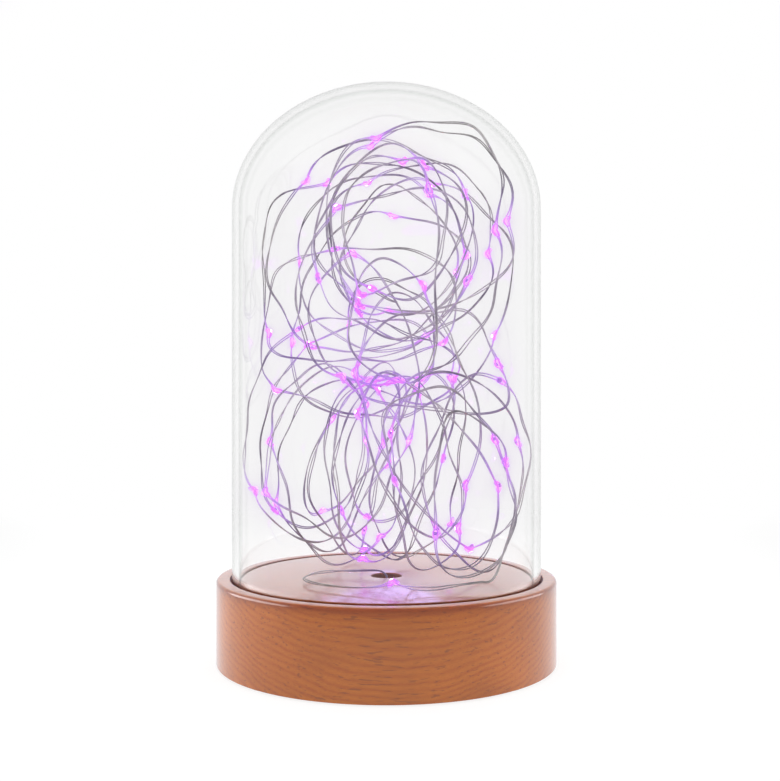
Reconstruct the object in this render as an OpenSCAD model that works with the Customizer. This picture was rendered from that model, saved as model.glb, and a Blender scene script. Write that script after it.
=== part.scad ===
// Glass cloche light: a glass dome on a turned wooden base, with a looped light string inside.
// Millimetres. Z is up, z = 0 is the underside of the foot pads, and the viewer is on the -Y side.

/* [Wooden base] */
// Diameter of the base
base_d = 120; // [90:1:160]
// Height of the wood, without the foot pads
base_h = 28.6; // [22:0.2:36]
// Rounding of the top edge
base_edge_r = 1.2; // [0.4:0.1:3]
// Chamfer of the bottom edge
base_chamfer = 0.5; // [0.2:0.1:2]
// Depth of the groove that the glass stands in
groove_depth = 5; // [3:0.5:8]
// Clearance between glass and groove, each side
groove_gap = 0.6; // [0.3:0.1:1.5]
// Diameter of the wire hole
wire_hole_d = 11; // [6:0.5:16]
// Radius of the hollow under the base
hollow_r = 44; // [40:0.5:46]
// Thickness of the wood above the hollow
top_t = 6; // [4:0.5:8]

/* [Glass dome] */
// Outer diameter of the glass
glass_d = 109.2; // [80:0.2:140]
// Thickness of the glass
glass_t = 2.4; // [1.5:0.1:4]
// Height of the whole light
total_h = 203; // [160:1:260]
// Height of the rounded crown
crown_h = 44; // [30:1:60]

/* [Light string] */
// Diameter of the twisted wire
wire_d = 0.85; // [0.6:0.05:0.85]
// Rings of the tube on each loop
loop_rings = 22; // [16:1:24]
// Sides of the tube on the loops
loop_sides = 5; // [4:1:8]
// Number of LED drops
led_count = 90; // [10:1:90]
// Distance from drop to drop along the wire
led_pitch = 73; // [60:0.5:73]
// Distance of the first drop from the wire hole
led_first = 79; // [20:1:100]
// Length of a drop
drop_l = 4.6; // [3:0.1:6]
// Diameter of a drop
drop_d = 2.6; // [2:0.1:3.4]

/* [Bottom housing] */
// Thickness of the flange
flange_t = 2.4; // [1.8:0.1:3]
// Depth of the flange below the wood's underside
flange_inset = 0.5; // [0.2:0.1:1]
// Wall of the battery bay
bay_wall = 1.4; // [1:0.1:2]
// Length of the battery bay, along the cells
bay_l = 58; // [57:0.5:60]
// Width of the battery bay, across the cells
bay_w = 46.4; // [45.6:0.2:48]
// Offset of the battery bay towards the back
bay_y = 6; // [4:0.5:7]
// Distance from cell to cell
cell_pitch = 15.4; // [14.8:0.1:15.8]
// Diameter of a cell
cell_d = 14.5; // [14:0.1:14.5]
// Length of a cell
cell_l = 50.5; // [49.5:0.1:50.5]
// Thickness of the battery door
door_t = 1.8; // [1.4:0.1:2.2]
// Height of the foot pads
foot_h = 1.0; // [0.6:0.1:2]

/* [Control board and switch] */
// Length of the board
board_l = 38; // [34:0.5:40]
// Width of the board
board_w = 14; // [12:0.5:16]
// Height of the posts under the board
post_h = 4.2; // [4:0.1:5]
// Travel of the switch knob
switch_travel = 2; // [1:0.5:2.5]

/* [Hidden] */
$fn = 64;

// Overshoot of every cut, and the directions of the screws and feet
cut = 1;
corners = [45 : 90 : 315];

// Levels and radii of the base and the glass
base_r = base_d / 2;
glass_r = glass_d / 2;
rim_z = foot_h + base_h;
groove_z = rim_z - groove_depth;
groove_in_r = glass_r - glass_t - groove_gap;
groove_out_r = glass_r + groove_gap;
ceiling_z = rim_z - top_t;
hole_r = wire_hole_d / 2;
spring_z = total_h - crown_h;
foot_ring_r = 56;
foot_d = 6.4;

// Levels of the bottom housing
flange_r = 52;
recess_gap = 0.2;
recess_r = flange_r + recess_gap;
flange_z = foot_h + flange_inset;
floor_z = flange_z + flange_t;
cell_z = floor_z + cell_d / 2;
roof_gap = 0.4;
roof_t = 1.2;
roof_z = floor_z + cell_d + roof_gap;
bay_top = roof_z + roof_t;
bay_front = bay_y - bay_w / 2;
bay_back = bay_y + bay_w / 2;

// Screws: head diameter, head height, shank diameter, shank length
HOUSING_SCREW = [4.3, 1.3, 2.2, 8.5];
BOARD_SCREW = [3.8, 1.4, 1.7, 4.8];
screw_ring_r = 48;
pilot_r = 1.15;
pilot_l = 8.5;
clear_r = 1.3;
sink_r = 2.4;
sink_depth = 1.5;
cross_l = 0.6;
cross_w = 0.6;
cross_depth = 0.7;

// Hinge, catch and grip of the battery door
door_gap = 0.3;
hinge_inset = 1.5;
hinge_y = bay_back - hinge_inset;
hinge_z = flange_z + door_t / 2;
hinge_pin_d = 1.2;
hinge_pin_l = 1.5;
hinge_hole_d = 1.3;
tongue_w = 10;
tongue_t = 1.1;
tongue_h = 4.9;
tongue_in = 0.2;
nose_w = 0.6;
nose_out = 0.15;
nose_rise = 1.3;
window_w = 10.8;
window_h = 1.4;
window_rise = 0.9;
notch_d = 14;
notch_depth = 1.2;
grip_lines = 3;
grip_start = 9;
grip_pitch = 2.4;
grip_l = 18;
grip_w = 0.9;
grip_depth = 0.4;

// Cells, springs and contacts
cell_play = 0.05;
nub_r = 2.6;
nub_h = 1.3;
shoulder_r = 6.6;
shoulder_h = 0.6;
cell_edge = 0.6;
plate_t = 0.4;
plate_half = 5.5;
spring_d = 0.8;
spring_wide_r = 4.6;
spring_narrow_r = 3;
spring_curls = 3;
spring_rings = 8;
spring_sides = 6;
spring_gap = 0.05;
tail_rise = 2.85;
tail_out = 1.2;
tail_w = 3;
tail_t = 0.5;
tail_slot_gap = 0.2;
tail_z = cell_z + tail_rise;
tail_x = bay_l / 2 + bay_wall + tail_out;

// Control board and switch
board_y = -31;
board_z = floor_z + post_h;
board_t = 1.6;
board_top = board_z + board_t;
board_screw_x = 15;
board_hole_r = 1;
post_d = 5;
post_hole_r = 0.9;
post_hole_rise = 0.6;
pad_x = 12.2;
pad_y = -26.5;
part_y = board_y - 1.5;
chip_x = -7;
chip_size = [5, 4, 1.45];
chip_rise = 0.15;
leg_pitch = 1.27;
leg_size = [0.4, 1.4, 0.3];
leg_y = 2.4;
resistor_y = board_y - 4.5;
resistor_size = [2, 1.2, 0.55];
resistor_pitch = 3;
capacitor_x = 8;
capacitor_d = 5;
capacitor_h = 7;
switch_l = 8.6;
switch_w = 4.6;
switch_gap = 0.4;
switch_room = [6.8, 2.4, 2.4];
switch_slot = [4.6, 2.4];
finger_recess = [12, 8, 0.9];
knob_size = [1.8, 1.8, 3.2];
knob_rise = 0.2;
slider_size = [3, 2, 1.3];
slider_rise = 0.9;
pin_pitch = 2;
pin_d = 0.9;
pin_hole_d = 1;
pin_out = 0.9;

// Leads inside the base
lead_d = 1.4;
lead_sides = 8;
lead_steps = 3;
string_steps = 4;
sleeve_d = 2.6;
sleeve_l = 5;
sleeve_rise = 1.8;
sleeve_gap = 0.05;

// Free points of the leads, in order along each of them
RED_ROUTE = [[tail_x, bay_y + cell_pitch, tail_z], [tail_x + 1.6, bay_y + cell_pitch, tail_z],
    [35.2, 18.6, 14], [35.8, 12, 13.6], [35.4, 2, 13.2], [34.6, -8, 13], [32.4, -16, 13],
    [28, -22, 13.4], [21, -25.8, 14], [16, -26.4, 14.2], [13.2, -26.5, 13.2],
    [pad_x, pad_y, 11.4], [pad_x, pad_y, board_top]];
BLACK_ROUTE = [[-tail_x, bay_y - cell_pitch, tail_z], [-tail_x - 1.6, bay_y - cell_pitch, tail_z],
    [-34.8, -11.4, 14], [-34.6, -15, 13.8], [-32, -19.5, 13.6], [-27.5, -23, 13.6],
    [-21, -25.8, 14], [-16, -26.4, 14.2], [-13.2, -26.5, 13.2],
    [-pad_x, pad_y, 11.4], [-pad_x, pad_y, board_top]];
STRING_ROUTE = [[0, pad_y, board_top], [0, pad_y, 13], [0, pad_y, 17.2], [0, -25.2, 20], [0, -22, 21.6],
    [0, -16, 21.9], [0, -9, 21.9], [0, -4.6, 22.4], [0, -1.4, 24.4], [0, 0, 27], [0, 0, 28.2]];
RUN_ROUTE = [[0, 0, 28.2], [0, 0, 29.4], [-1.4, 0.2, 30.8], [-4, 0.4, 31.3], [-10, 0.5, 31.2],
    [-17, -0.2, 31.2], [-23, -3, 31.2], [-27, -9, 31.2], [-28, -16, 31.2], [-25, -23, 31.2],
    [-19, -29, 31.2], [-11, -33.5, 31.2], [-2, -36.5, 31.2], [7, -37.6, 31.2], [15, -36.4, 31.3],
    [21, -33.8, 31.8], [26, -31.8, 32.2]];

// Loops of the string, in order along the wire:
// depth from front to back, centre across, centre height, half width, half height, lean in degrees
LOOPS = [
    [-41, 4, 56, 14, 22, 0], [-37, 12, 66, 16, 32, -20], [-33, -6, 65, 18, 31, 24],
    [-24, 2, 70, 17, 36, -10], [-38, 2, 138, 20, 30, 0], [-35, 2, 154, 19, 20, 0],
    [-28, 2, 150, 24, 25, 10], [-26, 2, 147, 32, 30, -8], [-21, -4, 122, 42, 26, -6],
    [-18, 20, 67, 20, 32, -20], [-15, 32, 67, 22, 33, -10], [-12, 4, 67, 17, 34, 18],
    [-6, -6, 67, 18, 34, -18], [0, -32, 68, 22, 34, 12], [-21, 12, 142, 32, 34, -10],
    [-5, 15, 164, 42, 40, -10], [-1, 2, 150, 24, 24, 10], [2, -12, 152, 50, 44, 12],
    [3, -24, 132, 36, 26, -10], [15, 0, 118, 52, 22, 5], [1, -38, 68, 22, 34, -8],
    [8, -10, 68, 18, 35, 18], [10, 6, 68, 17, 34, -16], [14, 2, 68, 17, 34, 16],
    [16, 36, 67, 22, 33, -12], [26, 4, 69, 16, 36, 14], [15, 24, 130, 26, 30, 20],
    [24, 12, 154, 38, 36, -8], [25, 4, 150, 24, 24, 0], [30, -8, 148, 36, 38, 14],
    [36, 2, 118, 38, 24, -6], [27, -22, 65, 20, 31, 20], [34, 0, 69, 17, 35, -18],
    [36, 12, 71, 16, 36, 14], [41, 4, 63, 16, 30, -8], [36, 7, 150, 24, 30, 0],
    [41, 2, 154, 18, 20, 0]];
loop_count = len(LOOPS) - 1;
mid_loop = loop_count / 2;
// Radius and height that keep the loops off the glass, and the outer share where they are drawn in
keep_gap = 1;
keep_top_gap = 0.6;
keep_r = glass_r - glass_t - keep_gap;
keep_h = crown_h - glass_t - keep_top_gap;
keep_share = 0.12;
keep_top = 0.98;
// Height and stretch of the waist, where the lower loops are turned against the upper ones
waist_z = 50;
waist_h = 80;
waist_turn = 40;
// Turn of the loops' planes, at the middle and for each millimetre of depth
plane_turn = -20;
plane_fan = 0.4;
// Small wander of a hand-laid wire, with its degrees for each loop and where it starts
wander = 1.6;
wander_x_rate = 970;
wander_x_start = 120;
wander_z_rate = 1190;
wander_z_start = 240;
// Profile of half a drop, as shares of its radius and half length, from its widest part to its end
DROP_PROFILE = [[1, 0.3], [0.85, 0.7], [0.5, 1]];
// Chip in each drop, and its distance from the wire
led_chip_size = [0.5, 0.8, 1.4];
led_chip_gap = 0.02;
// Sides of the tube and steps between the points of the run on the floor
run_sides = 8;
run_steps = 3;
// Rings that the gap between loops leaves out along the wire, and how far it looks
gap_skip = 6;
gap_reach = 16;

function limit(v, low, high) = max(low, min(high, v));
function unit(v) = v / norm(v);
function ease(f) = let (g = limit(f, 0, 1)) g * g * (3 - 2 * g);

// Smooth row of the table at t loops along the string
function blend(a, b, c, d, f) = (pow(1 - f, 3) * a + (3 * pow(f, 3) - 6 * pow(f, 2) + 4) * b
    + (-3 * pow(f, 3) + 3 * pow(f, 2) + 3 * f + 1) * c + pow(f, 3) * d) / 6;
function loop_row(t) = let (k = limit(floor(t), 0, loop_count - 1))
    blend(LOOPS[max(k - 1, 0)], LOOPS[k], LOOPS[k + 1], LOOPS[min(k + 2, loop_count)], t - k);

// Fan and turn of the loops, then a soft limit inside the glass
function fan(p) = let (a = plane_turn + plane_fan * p[1])
    [p[0] * cos(a), p[1] + p[0] * sin(a), p[2]];
function turn(p) = let (a = waist_turn * (1 - ease((p[2] - waist_z) / waist_h)))
    [p[0] * cos(a) - p[1] * sin(a), p[0] * sin(a) + p[1] * cos(a), p[2]];
function keep(p) = let (h = limit((p[2] - spring_z) / keep_h, 0, keep_top),
    q = norm([p[0], p[1]]) / (keep_r * sqrt(1 - h * h)), free = 1 - keep_share,
    g = q < free ? 1 : (free + keep_share * (1 - exp(-(q - free) / keep_share))) / q)
    [p[0] * g, p[1] * g, p[2]];
function string_point(t) = let (p = loop_row(t), a = 360 * t - 90, u = p[3] * cos(a), w = p[4] * sin(a))
    keep(turn(fan([
        p[1] + u * cos(p[5]) - w * sin(p[5]) + wander * sin(wander_x_rate * t + wander_x_start),
        p[0],
        p[2] + u * sin(p[5]) + w * cos(p[5]) + wander * sin(wander_z_rate * t + wander_z_start)])));
function string_points(t0, t1) = [for (i = [t0 * loop_rings : t1 * loop_rings]) string_point(i / loop_rings)];
function string_headings(t0, t1) = [for (i = [t0 * loop_rings : t1 * loop_rings])
    let (t = i / loop_rings) unit(string_point(t + 0.01) - string_point(t - 0.01))];

// Round curve through free points
function through(a, b, c, d, f) = 0.5 * (2 * b + (c - a) * f + (2 * a - 5 * b + 4 * c - d) * f * f
    + (3 * b - a - 3 * c + d) * f * f * f);
function curve(pts, n) = let (m = len(pts) - 1) concat([for (i = [0 : m - 1], j = [0 : n - 1])
    through(pts[max(i - 1, 0)], pts[i], pts[i + 1], pts[min(i + 2, m)], j / n)], [pts[m]]);
function headings(pts) = let (m = len(pts) - 1)
    [for (i = [0 : m]) unit(pts[min(i + 1, m)] - pts[max(i - 1, 0)])];
function run_points() = curve(concat(RUN_ROUTE, [string_point(0)]), run_steps);

// Distances along a chain of points
function steps(pts) = [for (i = 0, s = 0; i < len(pts);
    i = i + 1, s = i < len(pts) ? s + norm(pts[i] - pts[i - 1]) : s) s];

// Side direction carried along a tube without twist
function square_to(n, h) = unit(n - (n * h) * h);
function first_side(h) = square_to(abs(h[2]) < 0.9 ? [0, 0, 1] : [1, 0, 0], h);
function sides(dirs) = [for (i = 0, n = first_side(dirs[0]); i < len(dirs);
    i = i + 1, n = i < len(dirs) ? square_to(n, dirs[i]) : n) n];

// One unbroken tube with triangular faces
module tube(pts, dirs, d, n) {
    m = len(pts);
    side = sides(dirs);
    ring_points = [for (i = [0 : m - 1], j = [0 : n - 1]) let (a = 360 * j / n)
        pts[i] + d / 2 * (cos(a) * side[i] + sin(a) * cross(dirs[i], side[i]))];
    skin = [for (i = [0 : m - 2], j = [0 : n - 1], k = [0, 1]) let (a = i * n + j, b = i * n + (j + 1) % n)
        k == 0 ? [a, a + n, b] : [b, a + n, b + n]];
    caps = [for (j = [1 : n - 2], k = [0, 1]) k == 0 ? [0, j, j + 1]
        : [(m - 1) * n, (m - 1) * n + j + 1, (m - 1) * n + j]];
    polyhedron(points = ring_points, faces = concat(skin, caps));
}

module lead(route, d, n) {
    pts = curve(route, n);
    tube(pts, headings(pts), d, lead_sides);
}

// Least distance between two stretches of the wire
function gap(p, q, r, s) = let (u = q - p, v = s - r, w = p - r, a = u * u, b = u * v, c = v * v,
    d = u * w, e = v * w, f = a * c - b * b,
    g = f > 0.000001 ? limit((b * e - c * d) / f, 0, 1) : 0,
    h = limit((b * g + e) / c, 0, 1), k = limit((b * h - d) / a, 0, 1)) norm(w + k * u - h * v);
function least_gap(pts) = let (m = len(pts) - 2) min([for (i = [0 : m - gap_skip], j = [i + gap_skip : m])
    if (norm(pts[i] - pts[j]) < gap_reach) gap(pts[i], pts[i + 1], pts[j], pts[j + 1])]) - wire_d;

module wood_base() {
    edge = [for (a = [90 : -15 : 0])
        [base_r - base_edge_r + base_edge_r * cos(a), rim_z - base_edge_r + base_edge_r * sin(a)]];
    outline = concat([[hole_r, ceiling_z], [hole_r, rim_z], [groove_in_r, rim_z], [groove_in_r, groove_z],
        [groove_out_r, groove_z], [groove_out_r, rim_z]], edge,
        [[base_r, foot_h + base_chamfer], [base_r - base_chamfer, foot_h], [recess_r, foot_h],
        [recess_r, floor_z], [hollow_r, floor_z], [hollow_r, ceiling_z]]);
    color("burlywood")
    difference() {
        rotate_extrude() polygon(outline);
        for (a = corners)
            rotate(a) translate([screw_ring_r, 0, floor_z - cut]) cylinder(r = pilot_r, h = pilot_l + cut);
    }
}

module foot_pads() {
    color("dimgray")
    for (a = corners)
        rotate(a) translate([foot_ring_r, 0, 0]) cylinder(d = foot_d, h = foot_h);
}

module bottom_housing() {
    bay_x = bay_l / 2;
    color("#2b2b2d")
    difference() {
        union() {
            translate([0, 0, flange_z]) cylinder(r = flange_r, h = flange_t);
            translate([-bay_x - bay_wall, bay_front - bay_wall, flange_z])
                cube([bay_l + 2 * bay_wall, bay_w + 2 * bay_wall, bay_top - flange_z]);
            for (s = [-1, 1])
                translate([s * board_screw_x, board_y, flange_z]) cylinder(d = post_d, h = board_z - flange_z);
        }
        // Battery bay, open below
        translate([-bay_x, bay_front, flange_z - cut]) cube([bay_l, bay_w, roof_z - flange_z + cut]);
        // Hinge holes
        for (s = [-1, 1])
            translate([s * (bay_x + bay_wall / 2), hinge_y, hinge_z]) rotate([0, 90, 0])
                cylinder(d = hinge_hole_d, h = bay_wall + cut, center = true);
        // Slots for the tails of the end contacts
        for (s = [-1, 1])
            translate([s * (bay_x + bay_wall / 2), bay_y + s * cell_pitch, tail_z])
                cube([bay_wall + 2 * cut, tail_w + 2 * tail_slot_gap, tail_t + 2 * tail_slot_gap], center = true);
        // Catch window and finger notch of the door
        translate([-window_w / 2, bay_front - bay_wall - cut, floor_z + window_rise])
            cube([window_w, bay_wall + 2 * cut, window_h]);
        translate([0, bay_front, flange_z - cut]) cylinder(d = notch_d, h = notch_depth + cut);
        // Switch slot with its finger recess
        translate([-switch_slot[0] / 2, board_y - switch_slot[1] / 2, flange_z - cut])
            cube([switch_slot[0], switch_slot[1], flange_t + 2 * cut]);
        translate([-finger_recess[0] / 2, board_y - finger_recess[1] / 2, flange_z - cut])
            cube([finger_recess[0], finger_recess[1], finger_recess[2] + cut]);
        // Screw holes
        for (s = [-1, 1])
            translate([s * board_screw_x, board_y, floor_z + post_hole_rise]) cylinder(r = post_hole_r, h = post_h);
        for (a = corners)
            rotate(a) translate([screw_ring_r, 0, flange_z - cut]) {
                cylinder(r = clear_r, h = flange_t + 2 * cut);
                cylinder(r = sink_r, h = sink_depth + cut);
            }
    }
}

module cross_screw(size) {
    head_d = size[0];
    head_h = size[1];
    shank_d = size[2];
    shank_l = size[3];
    difference() {
        union() {
            cylinder(d = head_d, h = head_h);
            translate([0, 0, -shank_l]) cylinder(d = shank_d, h = shank_l + head_h / 2);
        }
        for (a = [0, 90])
            rotate(a) translate([0, 0, head_h])
                cube([head_d * cross_l, cross_w, 2 * cross_depth], center = true);
    }
}

module housing_screws() {
    color("silver")
    for (a = corners)
        rotate(a) translate([screw_ring_r, 0, flange_z + sink_depth]) rotate([180, 0, 0])
            cross_screw(HOUSING_SCREW);
}

module battery_door() {
    door_x = bay_l / 2 - door_gap;
    edge_y = bay_front + door_gap;
    tongue_y = edge_y + tongue_in;
    color("#333336")
    difference() {
        union() {
            translate([-door_x, edge_y, flange_z]) cube([2 * door_x, hinge_y - edge_y, door_t]);
            translate([0, hinge_y, hinge_z]) rotate([0, 90, 0])
                cylinder(d = door_t, h = 2 * door_x, center = true);
            translate([0, hinge_y, hinge_z]) rotate([0, 90, 0])
                cylinder(d = hinge_pin_d, h = 2 * (door_x + hinge_pin_l), center = true);
            // Catch tongue with its nose
            translate([-tongue_w / 2, tongue_y, flange_z + tongue_in]) cube([tongue_w, tongue_t, tongue_h]);
            translate([-tongue_w / 2, tongue_y - nose_out, floor_z + nose_rise]) cube([tongue_w, nose_w, nose_w]);
        }
        // Grip lines on the outside
        for (k = [0 : grip_lines - 1])
            translate([-grip_l / 2, edge_y + grip_start + grip_pitch * k, flange_z - cut])
                cube([grip_l, grip_w, grip_depth + cut]);
    }
}

// One cell along X, with its positive end on the side s
module cell(y, s) {
    color("#4d5560")
    translate([s * (bay_l / 2 - plate_t - cell_play), y, cell_z]) rotate([0, -s * 90, 0])
        rotate_extrude() polygon([[0, 0], [nub_r, 0], [nub_r, nub_h], [shoulder_r, nub_h],
            [cell_d / 2, nub_h + shoulder_h], [cell_d / 2, cell_l - cell_edge],
            [cell_d / 2 - cell_edge, cell_l], [0, cell_l]]);
}

module aa_cell_1() {
    cell(bay_y - cell_pitch, 1);
}

module aa_cell_2() {
    cell(bay_y, -1);
}

module aa_cell_3() {
    cell(bay_y + cell_pitch, 1);
}

// Tapered spring between a contact plate and the negative end of a cell, on the side s
function spring_route(y, s) = let (x0 = bay_l / 2 - plate_t - spring_d / 2 - spring_gap,
    x1 = cell_l + plate_t + cell_play - bay_l / 2 + spring_d / 2 + spring_gap, n = spring_curls * spring_rings)
    [for (i = [0 : n]) let (f = i / n, a = 360 * i / spring_rings,
        r = spring_wide_r + (spring_narrow_r - spring_wide_r) * f)
        [s * (x0 + (x1 - x0) * f), y + r * cos(a), cell_z + r * sin(a)]];

module spring(y, s) {
    pts = spring_route(y, s);
    tube(pts, headings(pts), spring_d, spring_sides);
}

module battery_springs() {
    color("gainsboro") {
        spring(bay_y - cell_pitch, -1);
        spring(bay_y, 1);
        spring(bay_y + cell_pitch, -1);
    }
}

// Contact on the side s, from the cell at y0 to the cell at y1, with a tail for a lead if it has one
module contact(s, y0, y1, tail) {
    inner_x = bay_l / 2 - plate_t;
    union() {
        translate([s > 0 ? inner_x : -bay_l / 2, y0 - plate_half, cell_z - plate_half])
            cube([plate_t, y1 - y0 + 2 * plate_half, 2 * plate_half]);
        if (tail)
            translate([s > 0 ? inner_x : -tail_x, y0 - tail_w / 2, tail_z - tail_t / 2])
                cube([tail_x - inner_x, tail_w, tail_t]);
    }
}

module contact_plates() {
    y1 = bay_y - cell_pitch;
    y3 = bay_y + cell_pitch;
    color("lightgray") {
        contact(-1, y1, y1, true);
        contact(-1, bay_y, y3, false);
        contact(1, y1, bay_y, false);
        contact(1, y3, y3, true);
    }
}

module control_board() {
    color("darkgreen")
    difference() {
        translate([-board_l / 2, board_y - board_w / 2, board_z]) cube([board_l, board_w, board_t]);
        for (s = [-1, 1])
            translate([s * board_screw_x, board_y, board_z - cut]) cylinder(r = board_hole_r, h = board_t + 2 * cut);
        for (k = [-1 : 1])
            translate([pin_pitch * k, board_y, board_z - cut]) cylinder(d = pin_hole_d, h = board_t + 2 * cut);
    }
}

module board_screws() {
    color("silver")
    for (s = [-1, 1])
        translate([s * board_screw_x, board_y, board_top]) cross_screw(BOARD_SCREW);
}

module driver_chip() {
    color("#202022")
    translate([chip_x, part_y, board_top]) {
        translate([-chip_size[0] / 2, -chip_size[1] / 2, chip_rise]) cube(chip_size);
        for (k = [-1.5 : 1.5], s = [-1, 1])
            translate([leg_pitch * k - leg_size[0] / 2, s * leg_y - leg_size[1] / 2, 0]) cube(leg_size);
    }
}

module board_resistors() {
    color("#3a3a3c")
    for (k = [-1 : 1])
        translate([resistor_pitch * k - resistor_size[0] / 2, resistor_y - resistor_size[1] / 2, board_top])
            cube(resistor_size);
}

module board_capacitor() {
    color("#27364a")
    translate([capacitor_x, part_y, board_top]) cylinder(d = capacitor_d, h = capacitor_h);
}

module switch_body() {
    color("silver")
    difference() {
        translate([-switch_l / 2, board_y - switch_w / 2, floor_z + switch_gap])
            cube([switch_l, switch_w, post_h - switch_gap]);
        translate([-switch_room[0] / 2, board_y - switch_room[1] / 2, floor_z - cut])
            cube([switch_room[0], switch_room[1], switch_room[2] + cut]);
    }
}

module switch_pins() {
    color("gainsboro")
    for (k = [-1 : 1])
        translate([pin_pitch * k, board_y, board_z]) cylinder(d = pin_d, h = board_t + pin_out);
}

module switch_knob() {
    knob_x = switch_travel / 2;
    color("#1c1c1e") {
        translate([knob_x - knob_size[0] / 2, board_y - knob_size[1] / 2, flange_z + knob_rise]) cube(knob_size);
        translate([knob_x - slider_size[0] / 2, board_y - slider_size[1] / 2, floor_z + slider_rise])
            cube(slider_size);
    }
}

module red_lead() {
    color("firebrick") lead(RED_ROUTE, lead_d, lead_steps);
}

module black_lead() {
    color("#161618") lead(BLACK_ROUTE, lead_d, lead_steps);
}

module string_sleeve() {
    color("#222224")
    translate([0, pad_y, board_top + sleeve_rise])
        difference() {
            cylinder(d = sleeve_d, h = sleeve_l);
            translate([0, 0, -cut]) cylinder(d = wire_d + 2 * sleeve_gap, h = sleeve_l + 2 * cut);
        }
}

module string_lead() {
    color("silver") lead(STRING_ROUTE, wire_d, string_steps);
}

module string_run() {
    pts = run_points();
    last = len(pts) - 1;
    dirs = headings(pts);
    ends = [for (i = [0 : last]) i == last ? string_headings(0, 0)[0] : dirs[i]];
    color("silver") tube(pts, ends, wire_d, run_sides);
}

module front_loops() {
    color("silver") tube(string_points(0, mid_loop), string_headings(0, mid_loop), wire_d, loop_sides);
}

module rear_loops() {
    color("silver")
    tube(string_points(mid_loop, loop_count), string_headings(mid_loop, loop_count), wire_d, loop_sides);
}

// Places children at every drop, with their Z along the wire
module at_drops() {
    run = run_points();
    pts = concat(run, [for (i = [1 : loop_count * loop_rings]) string_point(i / loop_rings)]);
    along = steps(pts);
    last = len(pts) - 2;
    for (k = [0 : led_count - 1]) {
        s = led_first + k * led_pitch;
        i = max([for (j = [0 : last]) if (along[j] <= s) j]);
        h = unit(pts[i + 1] - pts[i]);
        p = pts[i] + (s - along[i]) * h;
        translate(p) rotate([0, acos(h[2]), atan2(h[1], h[0])])
            children();
    }
}

module led_drops() {
    r = drop_d / 2;
    l = drop_l / 2;
    half = [for (p = DROP_PROFILE) [p[0] * r, p[1] * l]];
    other = [for (k = [len(half) - 1 : -1 : 0]) [half[k][0], -half[k][1]]];
    color("#ff7ae0")
    at_drops()
        rotate_extrude() polygon(concat([[0, -l]], other, half, [[0, l]]));
}

module led_chips() {
    color("white")
    at_drops()
        translate([wire_d / 2 + led_chip_gap, -led_chip_size[1] / 2, -led_chip_size[2] / 2]) cube(led_chip_size);
}

module glass_dome() {
    in_r = glass_r - glass_t;
    in_h = crown_h - glass_t;
    outside = [for (a = [0 : 5 : 90]) [glass_r * cos(a), spring_z + crown_h * sin(a)]];
    inside = [for (a = [90 : -5 : 0]) [in_r * cos(a), spring_z + in_h * sin(a)]];
    color([0.85, 0.92, 0.95, 0.3])
    rotate_extrude() polygon(concat([[in_r, groove_z], [glass_r, groove_z]], outside, inside));
}

echo(least_gap_of_the_loops = least_gap(string_points(0, loop_count)));
wood_base();
foot_pads();
bottom_housing();
housing_screws();
battery_door();
aa_cell_1();
aa_cell_2();
aa_cell_3();
battery_springs();
contact_plates();
control_board();
board_screws();
driver_chip();
board_resistors();
board_capacitor();
switch_body();
switch_pins();
switch_knob();
red_lead();
black_lead();
string_sleeve();
string_lead();
string_run();
front_loops();
rear_loops();
led_drops();
led_chips();
glass_dome();
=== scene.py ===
"""Glass cloche light: its looks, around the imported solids. Metres, Z up, the viewer on the -Y side."""

import math
import random

import bpy
import numpy as np
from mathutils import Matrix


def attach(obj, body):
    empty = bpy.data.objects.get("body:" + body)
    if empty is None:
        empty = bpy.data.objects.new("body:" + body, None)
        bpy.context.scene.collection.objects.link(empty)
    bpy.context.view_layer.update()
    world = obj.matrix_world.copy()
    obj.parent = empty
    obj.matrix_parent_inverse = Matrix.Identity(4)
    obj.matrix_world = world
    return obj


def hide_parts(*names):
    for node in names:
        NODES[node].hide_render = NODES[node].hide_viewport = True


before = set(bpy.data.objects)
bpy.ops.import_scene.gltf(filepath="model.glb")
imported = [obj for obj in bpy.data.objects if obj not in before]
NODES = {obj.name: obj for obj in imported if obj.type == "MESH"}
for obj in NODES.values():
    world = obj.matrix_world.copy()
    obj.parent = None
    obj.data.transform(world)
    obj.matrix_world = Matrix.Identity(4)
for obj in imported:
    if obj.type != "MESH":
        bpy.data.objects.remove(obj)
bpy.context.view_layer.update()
MM = 0.001

# Camera, in millimetres: at the height and distance of the photograph
CAMERA_PLACE = (1.25, -387, 95.4)

# Wooden base, in millimetres
BASE_R = 60
FOOT_H = 0.4
RIM_Z = 29.6
EDGE_R = 1.2
GROOVE_IN_R = 51.6
GROOVE_OUT_R = 55.2
GROOVE_Z = 24.6
HOLE_R = 5.5
CEILING_Z = 23.6
HOLLOW_R = 44
RECESS_R = 52.2
LEDGE_Z = 3.9

# Glass dome, in millimetres
GLASS_R = 54.6
GLASS_T = 2.4
TOTAL_H = 203
CROWN_H = 44
SPRING_Z = TOTAL_H - CROWN_H
# Share of the crown's height above which its narrowing isn't followed any further
CROWN_TOP = 0.98

# Light string, in millimetres
STRAND_D = 0.42
LED_COUNT = 90
LED_PITCH = 73
LED_FIRST = 79
DROP_L = 4.6
DROP_D = 2.6
BEND_L = 5.0
LOOP_RINGS = 22
RUN_RINGS = 3
RUN_ROUTE = [(0, 0, 28.2), (0, 0, 29.4), (-1.4, 0.2, 30.8), (-4, 0.4, 31.3), (-10, 0.5, 31.2),
    (-17, -0.2, 31.2), (-23, -3, 31.2), (-27, -9, 31.2), (-28, -16, 31.2), (-25, -23, 31.2),
    (-19, -29, 31.2), (-11, -33.5, 31.2), (-2, -36.5, 31.2), (7, -37.6, 31.2), (15, -36.4, 31.3),
    (21, -33.8, 31.8), (26, -31.8, 32.2)]
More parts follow.
